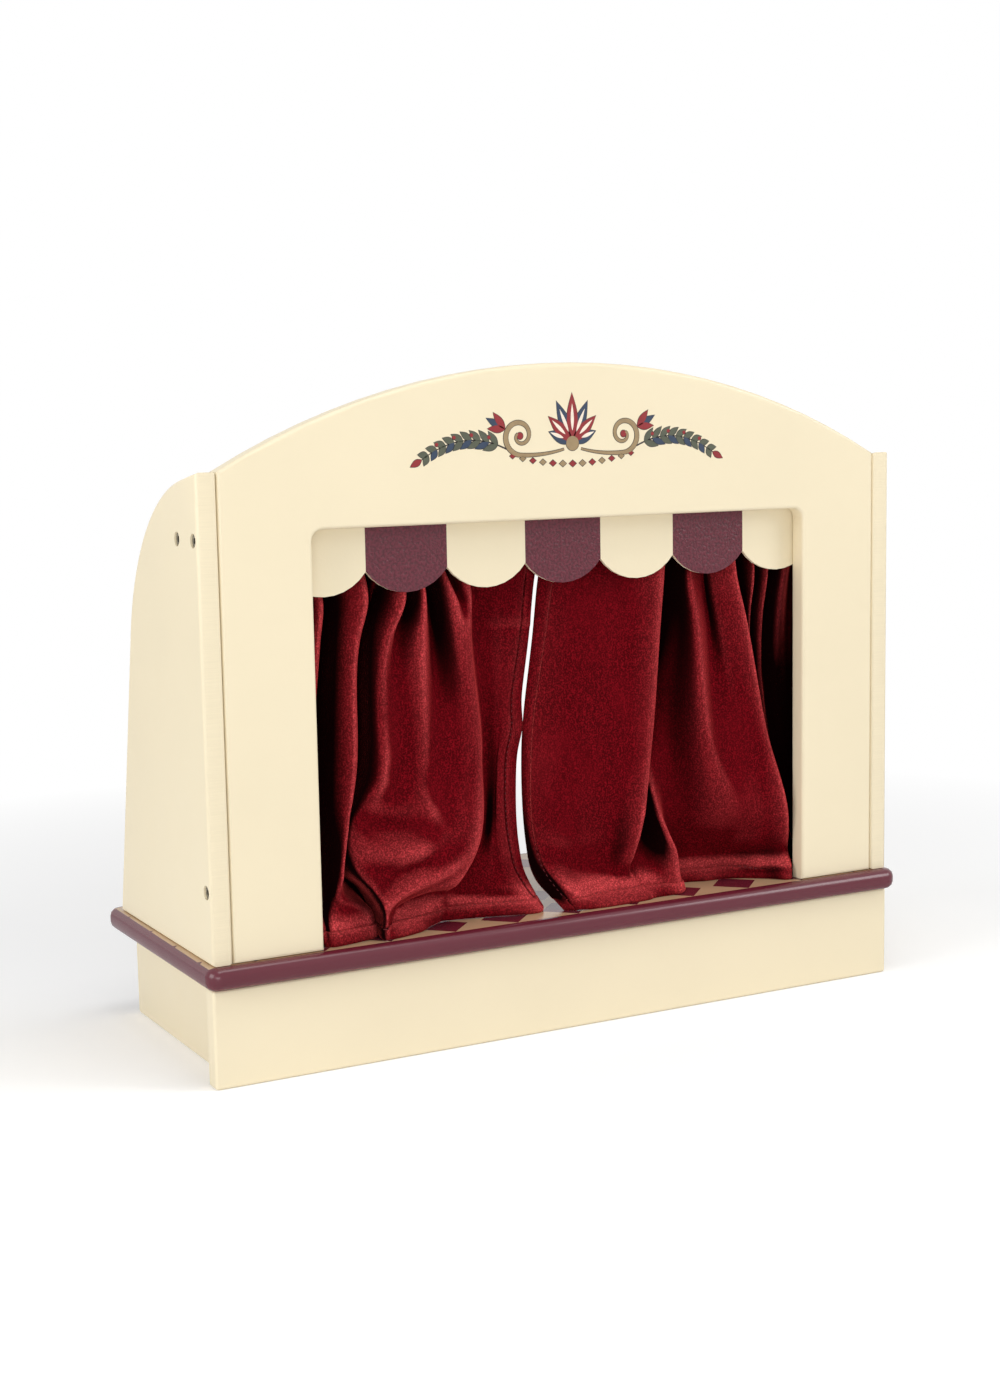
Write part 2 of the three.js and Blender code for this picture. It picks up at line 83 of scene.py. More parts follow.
# Each lamp's place, the point that it shines at, its two sides and its power in watts
LAMPS = {
    "key": ((1.6, -1.3, 1.3), (0, 0, 0.25), (0.9, 0.9), 15),
    "top": ((0.1, -0.75, 2.1), (0, -0.1, 0.1), (1.2, 0.8), 12.5),
    "side": ((-2.1, -0.45, 0.9), (0, 0, 0.25), (1.2, 1.2), 19),
    "low": ((-1.2, -2.2, 0.4), (0, 0, 0.15), (1.6, 0.5), 12.5),
}


# Camera, light and floor


def add_object(name, data):
    thing = bpy.data.objects.new(name, data)
    bpy.context.scene.collection.objects.link(thing)
    return thing


def add_camera():
    azimuth, elevation, roll = (math.radians(a) for a in (CAMERA_AZIMUTH, CAMERA_ELEVATION, CAMERA_ROLL))
    forward = Vector((
        -math.sin(azimuth) * math.cos(elevation),
        math.cos(azimuth) * math.cos(elevation),
        -math.sin(elevation),
    ))
    level = forward.cross(Vector((0, 0, 1))).normalized()
    upright = level.cross(forward)
    right = level * math.cos(roll) + upright * math.sin(roll)
    up = upright * math.cos(roll) - level * math.sin(roll)
    data = bpy.data.cameras.new("camera")
    data.lens = CAMERA_LENS_MM
    data.sensor_width = CAMERA_SENSOR_MM
    data.clip_end = CAMERA_REACH
    camera = add_object("camera", data)
    rotation = Matrix((right, up, -forward)).transposed().to_4x4()
    camera.matrix_world = Matrix.Translation(CAMERA_PLACE) @ rotation
    bpy.context.scene.camera = camera


def add_lamp(name, place, target, size, power):
    data = bpy.data.lights.new(name, "AREA")
    data.shape = "RECTANGLE"
    data.size, data.size_y = size
    data.energy = power
    lamp = add_object(name, data)
    lamp.location = place
    aim = Vector(target) - Vector(place)
    lamp.rotation_euler = aim.to_track_quat("-Z", "Y").to_euler()


def add_world():
    """A white backdrop where it is seen directly, mirrored or through, and a weaker fill light elsewhere."""
    world = bpy.data.worlds.new("studio")
    bpy.context.scene.world = world
    world.use_nodes = True
    tree = world.node_tree
    tree.nodes.clear()
    link = tree.links.new
    rays = tree.nodes.new("ShaderNodeLightPath").outputs
    seen = rays["Is Camera Ray"]
    for other in ("Is Transmission Ray", "Is Glossy Ray"):
        either = tree.nodes.new("ShaderNodeMath")
        either.operation = "MAXIMUM"
        link(seen, either.inputs[0])
        link(rays[other], either.inputs[1])
        seen = either.outputs[0]
    mix = tree.nodes.new("ShaderNodeMixShader")
    link(seen, mix.inputs["Fac"])
    for number, strength in enumerate((FILL_STRENGTH, BACKDROP_STRENGTH), 1):
        light = tree.nodes.new("ShaderNodeBackground")
        light.inputs["Color"].default_value = (1, 1, 1, 1)
        light.inputs["Strength"].default_value = strength
        link(light.outputs[0], mix.inputs[number])
    out = tree.nodes.new("ShaderNodeOutputWorld")
    link(mix.outputs[0], out.inputs["Surface"])


def add_floor():
    """A plain floor. The camera sees it a little lighter near the object, and plain white far from it."""
    mesh = bpy.data.meshes.new("floor")
    corners = [(x * FLOOR_HALF, y * FLOOR_HALF, 0) for x, y in ((-1, -1), (1, -1), (1, 1), (-1, 1))]
    mesh.from_pydata(corners, [], [(0, 1, 2, 3)])
    floor = add_object("floor", mesh)
    material = bpy.data.materials.new("floor_white")
    material.use_nodes = True
    tree = material.node_tree
    tree.nodes.clear()
    link = tree.links.new
    lit = tree.nodes.new("ShaderNodeBsdfDiffuse")
    lit.inputs["Color"].default_value = FLOOR_LIT
    lift = tree.nodes.new("ShaderNodeEmission")
    lift.inputs["Strength"].default_value = FLOOR_LIFT
    near = tree.nodes.new("ShaderNodeAddShader")
    link(lit.outputs[0], near.inputs[0])
    link(lift.outputs[0], near.inputs[1])
    place = tree.nodes.new("ShaderNodeTexCoord")
    distance = tree.nodes.new("ShaderNodeVectorMath")
    distance.operation = "LENGTH"
    link(place.outputs["Object"], distance.inputs[0])
    fade = tree.nodes.new("ShaderNodeMapRange")
    fade.inputs["From Min"].default_value, fade.inputs["From Max"].default_value = SHADOW_REACH
    link(distance.outputs["Value"], fade.inputs["Value"])
    white = tree.nodes.new("ShaderNodeEmission")
    shown = tree.nodes.new("ShaderNodeMixShader")
    link(fade.outputs[0], shown.inputs["Fac"])
    link(near.outputs[0], shown.inputs[1])
    link(white.outputs[0], shown.inputs[2])
    bounce = tree.nodes.new("ShaderNodeBsdfDiffuse")
    bounce.inputs["Color"].default_value = FLOOR_BOUNCE
    rays = tree.nodes.new("ShaderNodeLightPath")
    mix = tree.nodes.new("ShaderNodeMixShader")
    link(rays.outputs["Is Camera Ray"], mix.inputs["Fac"])
    link(bounce.outputs[0], mix.inputs[1])
    link(shown.outputs[0], mix.inputs[2])
    out = tree.nodes.new("ShaderNodeOutputMaterial")
    link(mix.outputs[0], out.inputs["Surface"])
    mesh.materials.append(material)


# Materials

# Where most of a noise texture's values lie
NOISE_RANGE = (0.3, 0.7)
# The print on the stage floor ends short of the stage's front and back edges
DIAMOND_PITCH_MM = 51.1
DIAMOND_HALF_MM = 20.0
DIAMOND_EDGE_MM = 0.15
DIAMOND_FIRST_Y_MM = -82.4
PRINT_FRONT_MM = -102.6
PRINT_BACK_MM = 104.0
SCALLOP_WIDTH_MM = 63.4


class Tree:
    """A material's node tree, with short calls to add a node and link its inputs."""

    def __init__(self, name):
        self.material = bpy.data.materials.new(name)
        self.material.use_nodes = True
        self.nodes = self.material.node_tree.nodes
        self.links = self.material.node_tree.links
        self.nodes.clear()
        self.shader = self.add("ShaderNodeBsdfPrincipled")
        out = self.nodes.new("ShaderNodeOutputMaterial")
        self.links.new(self.shader.outputs["BSDF"], out.inputs["Surface"])

    def add(self, kind, inputs=None, **settings):
        node = self.nodes.new(kind)
        for key, value in settings.items():
            setattr(node, key, value)
        for key, value in (inputs or {}).items():
            self.put(node, key, value)
        return node

    def put(self, node, key, value):
        socket = node.inputs[key]
        if isinstance(value, bpy.types.NodeSocket):
            self.links.new(value, socket)
        elif isinstance(value, tuple) and len(value) == 3 and len(socket.default_value) == 4:
            socket.default_value = (*value, 1)
        else:
            socket.default_value = value

    def set(self, **inputs):
        for key, value in inputs.items():
            self.put(self.shader, key.replace("_", " "), value)

    def math(self, operation, a, b=0.0, c=0.0):
        node = self.add("ShaderNodeMath", operation=operation)
        for index, value in enumerate((a, b, c)):
            self.put(node, index, value)
        return node.outputs[0]

    def noise(self, scale, stretch=(1, 1, 1), detail=2.0):
        coordinates = self.add("ShaderNodeTexCoord").outputs["Object"]
        mapped = self.add("ShaderNodeMapping", {"Vector": coordinates, "Scale": Vector(stretch)}).outputs[0]
        texture = self.add("ShaderNodeTexNoise", {"Vector": mapped, "Scale": scale, "Detail": detail})
        return texture.outputs["Fac"]

    def ramp(self, value, low, high, to_low=0.0, to_high=1.0):
        limits = {"From Min": low, "From Max": high, "To Min": to_low, "To Max": to_high}
        return self.add("ShaderNodeMapRange", {"Value": value, **limits}).outputs["Result"]

    def spread(self, noise, low=0.0, high=1.0):
        """Values from low to high that follow a noise."""
        return self.ramp(noise, *NOISE_RANGE, low, high)

    def beside(self, value, first, pitch):
        """How far a value is from the nearest of the evenly spaced places that start at first."""
        turn = self.math("FLOORED_MODULO", self.math("SUBTRACT", value, first - pitch / 2), pitch)
        return self.math("ABSOLUTE", self.math("SUBTRACT", turn, pitch / 2))

    def mix(self, share, first, second):
        node = self.add("ShaderNodeMix", data_type="RGBA")
        self.put(node, 0, share)
        self.put(node, 6, first)
        self.put(node, 7, second)
        return node.outputs[2]

    def bump(self, height, distance, strength=1.0):
        node = self.add("ShaderNodeBump", {"Height": height, "Distance": distance, "Strength": strength})
        return node.outputs[0]

    def axes(self):
        coordinates = self.add("ShaderNodeTexCoord")
        split = self.add("ShaderNodeSeparateXYZ", {"Vector": coordinates.outputs["Object"]})
        return split.outputs[0], split.outputs[1], split.outputs[2]

    def facing(self):
        geometry = self.add("ShaderNodeNewGeometry")
        split = self.add("ShaderNodeSeparateXYZ", {"Vector": geometry.outputs["Normal"]})
        return split.outputs[0], split.outputs[1], split.outputs[2]


def shade(color, factor):
    return tuple(min(c * factor, 1.0) for c in color)


def paint_height(tree, peel, grain):
    """Brush grain that runs along the boards, and the fine dimples of sprayed paint."""
    peel_height = tree.math("MULTIPLY", tree.noise(scale=1500, detail=1.0), peel)
    grain_height = tree.math("MULTIPLY", tree.noise(scale=60, stretch=(0.5, 0.5, 22), detail=3.0), grain)
    return tree.math("ADD", peel_height, grain_height)


def cream_paint(name="cream_paint", edge_grain=False):
    """Satin cream. With edge_grain, the board's grain shows through on the faces that don't look sideways."""
    tree = Tree(name)
    color = tree.mix(tree.spread(tree.noise(scale=9, detail=3.0)), shade(CREAM, 0.985), shade(CREAM, 1.01))
    height = paint_height(tree, peel=0.5, grain=0.8)
    if edge_grain:
        across = tree.math("ABSOLUTE", tree.facing()[0])
        edge = tree.math("SUBTRACT", 1.0, tree.ramp(across, 0.3, 0.7))
        lines = tree.noise(scale=90, stretch=(0.4, 0.4, 16), detail=3.0)
        height = tree.math("MULTIPLY_ADD", tree.math("MULTIPLY", lines, edge), 3.2, height)
        darker = tree.math("MULTIPLY", tree.ramp(lines, 0.35, 0.65), tree.math("MULTIPLY", edge, 0.25))
        color = tree.mix(darker, color, shade(CREAM, 0.86))
    rough = tree.spread(tree.noise(scale=40), 0.36, 0.42)
    tree.set(Base_Color=color, Roughness=rough, Normal=tree.bump(height, distance=0.00006))
    return tree.material


def burgundy_color(tree):
    cloud = tree.spread(tree.noise(scale=12, detail=3.0))
    return tree.mix(cloud, shade(BURGUNDY, 0.94), shade(BURGUNDY, 1.05))


def stage_paint():
    """Burgundy paint, with a print of burgundy diamonds on tan over the stage floor."""
    tree = Tree("stage_paint")
    x, y, _ = tree.axes()
    pitch = DIAMOND_PITCH_MM * MM
    reach = tree.math("ADD", tree.beside(x, 0, pitch), tree.beside(y, DIAMOND_FIRST_Y_MM * MM, pitch))
    inner, outer = (DIAMOND_HALF_MM - DIAMOND_EDGE_MM) * MM, (DIAMOND_HALF_MM + DIAMOND_EDGE_MM) * MM
    outside = tree.ramp(reach, inner, outer)
    printed = tree.math("GREATER_THAN", y, PRINT_FRONT_MM * MM)
    printed = tree.math("MULTIPLY", printed, tree.math("LESS_THAN", y, PRINT_BACK_MM * MM))
    printed = tree.math("MULTIPLY", printed, tree.math("GREATER_THAN", tree.facing()[2], 0.9))
    ground = tree.mix(tree.spread(tree.noise(scale=30, detail=3.0)), shade(TAN, 0.94), shade(TAN, 1.05))
    color = tree.mix(tree.math("MULTIPLY", outside, printed), burgundy_color(tree), ground)
    rough = tree.spread(tree.noise(scale=60), 0.22, 0.27)
    height = paint_height(tree, peel=0.35, grain=0.15)
    tree.set(Base_Color=color, Roughness=rough, Normal=tree.bump(height, distance=0.00005))
    return tree.material


def valance_paint():
    """Alternate cream and burgundy scallops. The sawn edges keep the cream undercoat."""
    tree = Tree("valance_paint")
    width = SCALLOP_WIDTH_MM * MM
    turn = tree.math("FLOORED_MODULO", tree.math("ADD", tree.axes()[0], width / 2), 2 * width)
    burgundy = tree.math("LESS_THAN", turn, width)
    flat = tree.math("GREATER_THAN", tree.math("ABSOLUTE", tree.facing()[1]), 0.7)
    cream = tree.mix(tree.spread(tree.noise(scale=12, detail=3.0)), shade(CREAM, 0.97), CREAM)
    peel = tree.noise(scale=480, detail=2.0)
    # Painted shade and highlight: the burgundy is darker in the peel's dimples and lighter on its bumps
    peel_shaded = tree.mix(tree.ramp(peel, 0.4, 0.6), shade(BURGUNDY, 0.68), shade(BURGUNDY, 1.2))
    color = tree.mix(tree.math("MULTIPLY", burgundy, flat), cream, peel_shaded)
    height = tree.math("MULTIPLY", peel, tree.ramp(burgundy, 0, 1, 0.3, 2.4))
    rough = tree.ramp(burgundy, 0, 1, 0.4, 0.3)
    tree.set(Base_Color=color, Roughness=rough, Normal=tree.bump(height, distance=0.0003))
    return tree.material


def beech_wood():
    tree = Tree("beech")
    rings = tree.noise(scale=70, stretch=(0.15, 1, 1), detail=4.0)
    flecks = tree.ramp(tree.noise(scale=900, stretch=(0.08, 1, 1), detail=1.0), 0.6, 0.72)
    color = tree.mix(tree.ramp(rings, 0.35, 0.65), shade(BEECH, 0.82), shade(BEECH, 1.08))
    color = tree.mix(tree.math("MULTIPLY", flecks, 0.5), color, shade(BEECH, 0.6))
    rough = tree.spread(rings, 0.5, 0.6)
    tree.set(Base_Color=color, Roughness=rough, Normal=tree.bump(rings, distance=0.0001))
    return tree.material


def screw_steel():
    tree = Tree("screw_steel")
    worn = tree.noise(scale=1200, detail=3.0)
    color = tree.mix(tree.ramp(worn, 0.35, 0.65), shade(STEEL, 0.8), shade(STEEL, 1.15))
    rough = tree.spread(worn, 0.34, 0.5)
    tree.set(Base_Color=color, Metallic=1.0, Roughness=rough, Normal=tree.bump(worn, distance=0.00003))
    return tree.material


def velvet_cloth():
    """Short pile: a dark red ground, fine speckle and ribs, and a sheen at grazing angles. A painted
    highlight lightens ridges and a painted shade darkens hollows, where the cloth's two attributes say."""
    tree = Tree("velvet")
    pile = tree.noise(scale=1000, stretch=(1, 1, 0.85), detail=1.0)
    ribs = tree.noise(scale=750, stretch=(1, 1, 0.25), detail=0.0)
    nap = tree.noise(scale=34, stretch=(1, 1, 0.6), detail=3.0)
    fine = tree.math("MULTIPLY_ADD", ribs, 0.2, tree.math("MULTIPLY", pile, 0.8))
    speckle = tree.ramp(fine, 0.44, 0.7)
    color = tree.mix(speckle, shade(VELVET, 0.68), shade(VELVET, 2.3))
    color = tree.mix(tree.math("MULTIPLY", tree.ramp(nap, 0.45, 0.7), 0.35), color, shade(VELVET, 1.7))
    # Painted highlight: a lighter red on ridges, on cloth facing up and above the hem, where the cloth's
    # attribute says
    highlight_share = tree.add("ShaderNodeAttribute", attribute_name="painted_highlight").outputs["Fac"]
    highlight_color = tree.mix(speckle, shade(VELVET_HIGHLIGHT, 0.6), shade(VELVET_HIGHLIGHT, 1.7))
    color = tree.mix(highlight_share, color, highlight_color)
    # Painted shade: near black where the cloth's painted light is low, in hollows, beside the opening and on
    # cloth turned left
    lit = tree.add("ShaderNodeAttribute", attribute_name="painted_lighting").outputs["Fac"]
    color = tree.mix(tree.ramp(lit, 0.26, 0.76), shade(VELVET, 0.05), color)
    tree.set(
        Base_Color=color,
        Roughness=0.95,
        Specular_IOR_Level=0.03,
        Sheen_Weight=0.65,
        Sheen_Roughness=0.24,
        Sheen_Tint=VELVET_SHEEN,
        Normal=tree.bump(fine, distance=0.0006, strength=0.8),
    )
    return tree.material


def ink(name, color):
    tree = Tree(name)
    shades = tree.mix(tree.spread(tree.noise(scale=260, detail=3.0)), shade(color, 0.9), shade(color, 1.06))
    tree.set(Base_Color=shades, Roughness=0.4, Normal=tree.bump(tree.noise(scale=1500), distance=0.00002))
    return tree.material


def thread_material():
    """Dark sewing thread, twisted, a little glossier than the pile."""
    tree = Tree("thread")
    twist = tree.noise(scale=2400, detail=1.0)
    color = tree.mix(twist, shade(THREAD, 0.7), shade(THREAD, 1.6))
    tree.set(Base_Color=color, Roughness=0.6, Normal=tree.bump(twist, distance=0.0002))
    return tree.material


# Printed ornament
# A palmette, two scrolls and two laurel sprays, printed on the arch above the opening, with each ink in its
# own thin layer. Lengths in this section are in mm, with x from the middle and z from the print's base line.
# Angles are in degrees, from straight up unless a comment says otherwise.

PRINT_FACE_MM = -102.8
PRINT_LAYER_MM = 0.05
PRINT_BASE_Z_MM = 431.0
OUTLINE_MM = 0.45
# Angle and length of the palmette's petals on one side, and angle, length and ink of the buds at a scroll
PETALS = ((0, 35), (24, 32), (47, 27), (69, 21))
PETAL_WIDTH_MM = 9.0
VEIN_WIDTH_MM = 2.6
BUDS = ((38, 15, "red"), (62, 17, "navy"), (88, 14, "red"))
BUD_WIDTH_MM = 5.2
# A scroll starts at its foot, dips and turns round its eye. Its turns are measured from sideways.
SCROLL_FOOT_MM = (7.0, -3.0)
SCROLL_DIP_MM = (24.0, -7.5)
SCROLL_EYE_MM = (43.0, 7.0)
SCROLL_TURNS = (-90, 400)
SCROLL_RADII_MM = (13.5, 2.2)
# The width of a scroll's line at three of its points: the first, one in the middle and the last
SCROLL_POINTS = (0, 22, 73)
SCROLL_WIDTHS_MM = (1.2, 3.6, 1.4)
# The start, the bend and the end of a spray's stem
SPRAY_MM = ((54.0, -2.0), (88.0, 14.0), (121.0, -8.0))
LEAF_WIDTH_MM = 4.4
LEAF_SPREAD = 34
LOZENGES_A_SIDE = 6
LOZENGE_PITCH_MM = 8.2
LEAF_POINTS = 13
DISC_POINTS = 24
INKS = {
    "outline": (0.040, 0.030, 0.027),
    "green": (0.085, 0.092, 0.060),
    "navy": (0.028, 0.046, 0.085),
    "red": (0.26, 0.018, 0.022),
    "gold": (0.32, 0.225, 0.115),
    "cream": (0.87, 0.75, 0.62),
}


def leaf(x, z, angle, length, width, grow=0.0):
    """A pointed leaf that starts at x, z and runs at an angle from straight up, in degrees."""
    turn = math.radians(angle)
    ahead = np.array([math.sin(turn), math.cos(turn)])
    aside = np.array([ahead[1], -ahead[0]])
    start = np.array([x, z]) - ahead * grow
    share = np.linspace(0, 1, LEAF_POINTS)
    half = (width / 2 + grow) * np.sin(math.pi * share**0.85)
    along = start + np.outer(share * (length + 2 * grow), ahead)
    right = along + np.outer(half, aside)
    left = along - np.outer(half, aside)
    return np.concatenate([right, left[-2:0:-1]])


def disc(x, z, radius, grow=0.0):
    turns = np.linspace(0, 2 * math.pi, DISC_POINTS, endpoint=False)
    return np.array([x, z]) + (radius + grow) * np.stack([np.cos(turns), np.sin(turns)], axis=1)


def lozenge(x, z, width, height, grow=0.0):
    """A diamond. Its corners grow further than its edges."""
    across, upward = width / 2 + 1.4 * grow, height / 2 + 1.4 * grow
    return np.array([(x + across, z), (x, z + upward), (x - across, z), (x, z - upward)])


def brush(path, widths, grow=0.0):
    """A brush line along a path, with a width at each of its points."""
    direction = np.gradient(path, axis=0)
    direction /= np.linalg.norm(direction, axis=1, keepdims=True)
    aside = np.stack([direction[:, 1], -direction[:, 0]], axis=1)
    half = (np.asarray(widths)[:, None] / 2 + grow) * aside
    return np.concatenate([path + half, (path - half)[::-1]])


def arc_between(start, bend, end, share):
    """Points of a curve from start to end that is pulled towards bend. share runs from 0 to 1."""
    start, bend, end = np.array([start, bend, end])
    share = share[:, None]
    return (1 - share) ** 2 * start + 2 * share * (1 - share) * bend + share**2 * end


def scroll_path(side):
    """From the foot of the palmette outwards, up and round into a volute."""
    turns = np.radians(np.linspace(*SCROLL_TURNS, 60))
    radius = np.linspace(*SCROLL_RADII_MM, 60)[:, None]
    volute = np.array(SCROLL_EYE_MM) + radius * np.stack([np.cos(turns), np.sin(turns)], axis=1)
    lead = arc_between(SCROLL_FOOT_MM, SCROLL_DIP_MM, volute[0], np.linspace(0, 1, 14, endpoint=False))
    return np.concatenate([lead, volute]) * (side, 1)


def spray_path(side):
    return arc_between(*SPRAY_MM, np.linspace(0, 1, 40)) * (side, 1)


def ornament_shapes():
    """Each ink's outlines. An outline ink lies under the others, a little larger."""
    shapes = {name: [] for name in INKS}

    def draw(name, form, *measures):
        shapes[name].append(form(*measures))
        shapes["outline"].append(form(*measures, OUTLINE_MM))

    for number, (angle, length) in reversed(list(enumerate(PETALS))):
        for side in (-1, 1) if angle else (1,):
            draw("navy" if number % 2 else "red", leaf, 0, 2, side * angle, length, PETAL_WIDTH_MM)
            turn = math.radians(side * angle)
            x, z = 8 * math.sin(turn), 2 + 8 * math.cos(turn)
            shapes["cream"].append(leaf(x, z, side * angle, 0.55 * length, VEIN_WIDTH_MM))
    draw("gold", disc, 0, 1, 5.2)
    shapes["red"].append(disc(0, 1, 2.2))
    for side in (-1, 1):
        path = scroll_path(side)
        draw("gold", brush, path, np.interp(np.arange(len(path)), SCROLL_POINTS, SCROLL_WIDTHS_MM))
        draw("red", disc, side * SCROLL_EYE_MM[0], SCROLL_EYE_MM[1], 2.4)
        for angle, length, name in BUDS:
            draw(name, leaf, side * 55.0, 12, side * angle, length, BUD_WIDTH_MM)
        stem = spray_path(side)
        shapes["outline"].append(brush(stem, np.linspace(1.2, 0.7, len(stem))))
        for number, at in enumerate(range(4, 38, 4)):
            x, z = stem[at]
            ahead = stem[at + 1] - stem[at]
            along = math.degrees(math.atan2(ahead[0], ahead[1]))
            length = 12.5 - 0.55 * number
            draw("green", leaf, x, z, along - side * LEAF_SPREAD, length, LEAF_WIDTH_MM)
            name = "navy" if number % 2 else "green"
            draw(name, leaf, x, z, along + side * LEAF_SPREAD, length, LEAF_WIDTH_MM)
            if number % 2:
                draw("red", disc, x, z + 3.6, 1.3)
        draw("red", leaf, *stem[-1], side * 118, 10, LEAF_WIDTH_MM)
    for number in range(-LOZENGES_A_SIDE, LOZENGES_A_SIDE + 1):
        width, height = 6.0 - 0.22 * abs(number), 4.6 - 0.17 * abs(number)
        name = "gold" if number % 2 else "red"
        draw(name, lozenge, number * LOZENGE_PITCH_MM, 0.18 * number**2 - 13.5, width, height)
    return shapes


def add_ornament():
    """The shapes of each ink as one thin piece that lies on the front plate."""
    for layer, (name, outlines) in enumerate(ornament_shapes().items()):
        front = PRINT_FACE_MM - PRINT_LAYER_MM * (1 + layer)
        points, faces = [], []
        for outline in outlines:
            first, count = len(points), len(outline)
            for y in (front, PRINT_FACE_MM):
                points += [(x, y, PRINT_BASE_Z_MM + z) for x, z in outline]
            ring = list(range(first, first + count))
            faces.append(ring)
            faces.append([i + count for i in reversed(ring)])
            faces += [(b, a, a + count, b + count) for a, b in zip(ring, ring[1:] + ring[:1])]
        mesh = bpy.data.meshes.new(f"print_{name}")
        mesh.from_pydata([Vector(p) * MM for p in points], [], faces)
        edit = bmesh.new()
        edit.from_mesh(mesh)
        bmesh.ops.recalc_face_normals(edit, faces=edit.faces)
        edit.to_mesh(mesh)
        edit.free()
        piece = add_object(f"print_{name}", mesh)
        mesh.materials.append(ink(f"ink_{name}", INKS[name]))
        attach(piece, "theater")


# The model's own pieces

WELD_DISTANCE = 0.00001
SHARP_ANGLE = 50


def rounding_group():
    """Geometry nodes that join the imported facets and shade them smooth across shallow angles."""
    group = bpy.data.node_groups.new("smooth_by_angle", "GeometryNodeTree")
    group.interface.new_socket("Geometry", in_out="INPUT", socket_type="NodeSocketGeometry")
    group.interface.new_socket("Geometry", in_out="OUTPUT", socket_type="NodeSocketGeometry")
    source = group.nodes.new("NodeGroupInput")
    target = group.nodes.new("NodeGroupOutput")
    weld = group.nodes.new("GeometryNodeMergeByDistance")
    weld.inputs["Distance"].default_value = WELD_DISTANCE
    angle = group.nodes.new("GeometryNodeInputMeshEdgeAngle")
    sharp = group.nodes.new("FunctionNodeCompare")
    sharp.operation = "GREATER_THAN"
    group.links.new(angle.outputs["Unsigned Angle"], sharp.inputs[0])
    sharp.inputs[1].default_value = math.radians(SHARP_ANGLE)
    normals = group.nodes.new("GeometryNodeSetMeshNormal")
    normals.mode = "SHARPNESS"
    group.links.new(source.outputs[0], weld.inputs["Geometry"])
    group.links.new(weld.outputs["Geometry"], normals.inputs["Mesh"])
    group.links.new(sharp.outputs[0], normals.inputs["Edge Sharpness"])
    group.links.new(normals.outputs["Mesh"], target.inputs[0])
    return group


def dress_model():
    """Gives each piece of the model but the curtains its material, found by a word of its name."""
    cream, steel, beech = cream_paint(), screw_steel(), beech_wood()
    by_word = {
        "side_panel": cream_paint("cream_panel_paint", edge_grain=True),
        "stage_board": stage_paint(),
        "valance": valance_paint(),
        "screw": steel,
        "dowel": beech,
        "curtain_rod": beech,
    }
    group = rounding_group()
    for name, node in nodes.items():
        if name in ("curtain_left", "curtain_right"):
            continue
        material = next((m for word, m in by_word.items() if word in name), cream)
        for slot in node.material_slots:
            slot.material = material
        smooth = node.modifiers.new("smooth", "NODES")
        smooth.node_group = group
        weighted = node.modifiers.new("weighted", "WEIGHTED_NORMAL")
        weighted.keep_sharp = True


# Curtains
# Lengths in this section are in mm.

ROD_Y_MM = -64.1
ROD_Z_MM = 374.1
POCKET_RADIUS_MM = 9.3
# The pocket's rows around the rod, in degrees: from below its back, over its top, to its front
POCKET_ANGLES = (-50, 0, 45, 90, 135, 180)
# The pocket's end lies behind the hanging cloth
TAIL_BEHIND_MM = 1.65
TAIL_DROP_MM = 3.0
STAGE_TOP_MM = 86.3
# The cloth's middle ends this high above the stage, and none of its faces comes closer than the second
FOOT_LIFT_MM = 0.3
LEAST_LIFT_MM = 0.05
OPENING_HALF_MM = 204.4
# Strokes act from the first of these distances forward of the middle, and fully from the second
STROKE_DEPTH_MM = (58, 72)

CLOTH_HALF_MM = 0.75
CLOTH_ROWS = 110
CLOTH_STEP_MM = 1.9
HEM_HALF_MM = 2.3
HEM_WIDTH_MM = 9.5
# The grid's lines at a hem, from its edge, and the slope from the hem to the single cloth, from the seam
HEM_LINES_MM = (0, 0.5, 1.6, 3.5, 6.0, 8.2, 9.0, 9.5, 10.0, 10.8, 12.4)
HEM_SLOPE_MM = (-0.4, 1.4)
SEAM_DEPTH_MM = 0.9
SEAM_REACH_MM = 0.7
RIM_LEAST = 0.04

# Pleats where the cloth is gathered on the rod. They drift sideways by an angle in radians over a length, and
# fade out down the cloth and towards its side edges.
PLEAT_RISE_MM = 1.7
PLEAT_SPACING_MM = 11.0
PLEAT_DRIFTS = ((0.9, 17.0), (0.6, 7.3))
PLEAT_FADE_MM = (26, 66)
PLEAT_CALM_MM = (4, 22)

# Painted light on the cloth. A painted shadow of the plate beside the opening takes a share of it, in full
# below the first height and none above the second. The cloth's foot gets painted light in the same way.
PLATE_SHADE = 0.6
PLATE_SHADE_MM = (220, 300)
FOOT_GAIN = 0.15
FOOT_GAIN_MM = (98, 110)
LEAST_AHEAD_MM = 0.3
# Painted shade: cloth turned to the left keeps this share of its colour, low down and higher up. A turn is a
# part of the cloth's normal.
LEFT_LOW = 0.15
LEFT_HIGH = 0.45
LEFT_MM = (130, 190)
LEFT_TURN = (-0.95, -0.35)
# Painted shade along the seams of the hems
SEAM_SHADE = 0.7
# Painted highlight: the pile's colour turns lighter on ridges, more where they turn right, on cloth that
# faces up, and where the cloth bends out above the hem
RIDGE_STEPS = 12
RIDGE_RISE_MM = 2.0
RIDGE_HIGHLIGHT = 0.95
RIDGE_LEAST = 0.35
RIDGE_TURN = (-0.3, 0.5)
FACING_UP_HIGHLIGHT = 0.32
FACING_UP_TURN = (0.45, 0.9)
BEND_HIGHLIGHT = 0.85
BEND_Z_MM = 100
BEND_REACH_MM = 6
BEND_TURN = (0.1, 0.5)

STITCH_MM = 3.0
STITCH_GAP_MM = 1.4
STITCH_RADIUS_MM = 0.32
# Rings along one stitch: the place as a share of its length, the lift and the radius
STITCH_RINGS = ((0.0, 0.0, 0.45), (0.22, 0.75, 1.0), (0.5, 1.0, 1.0), (0.78, 0.75, 1.0), (1.0, 0.0, 0.45))
STITCH_SIDES = 6
# Stitches in the side hems start this far from the end of the pocket's cloth
STITCHES_FROM_MM = 35

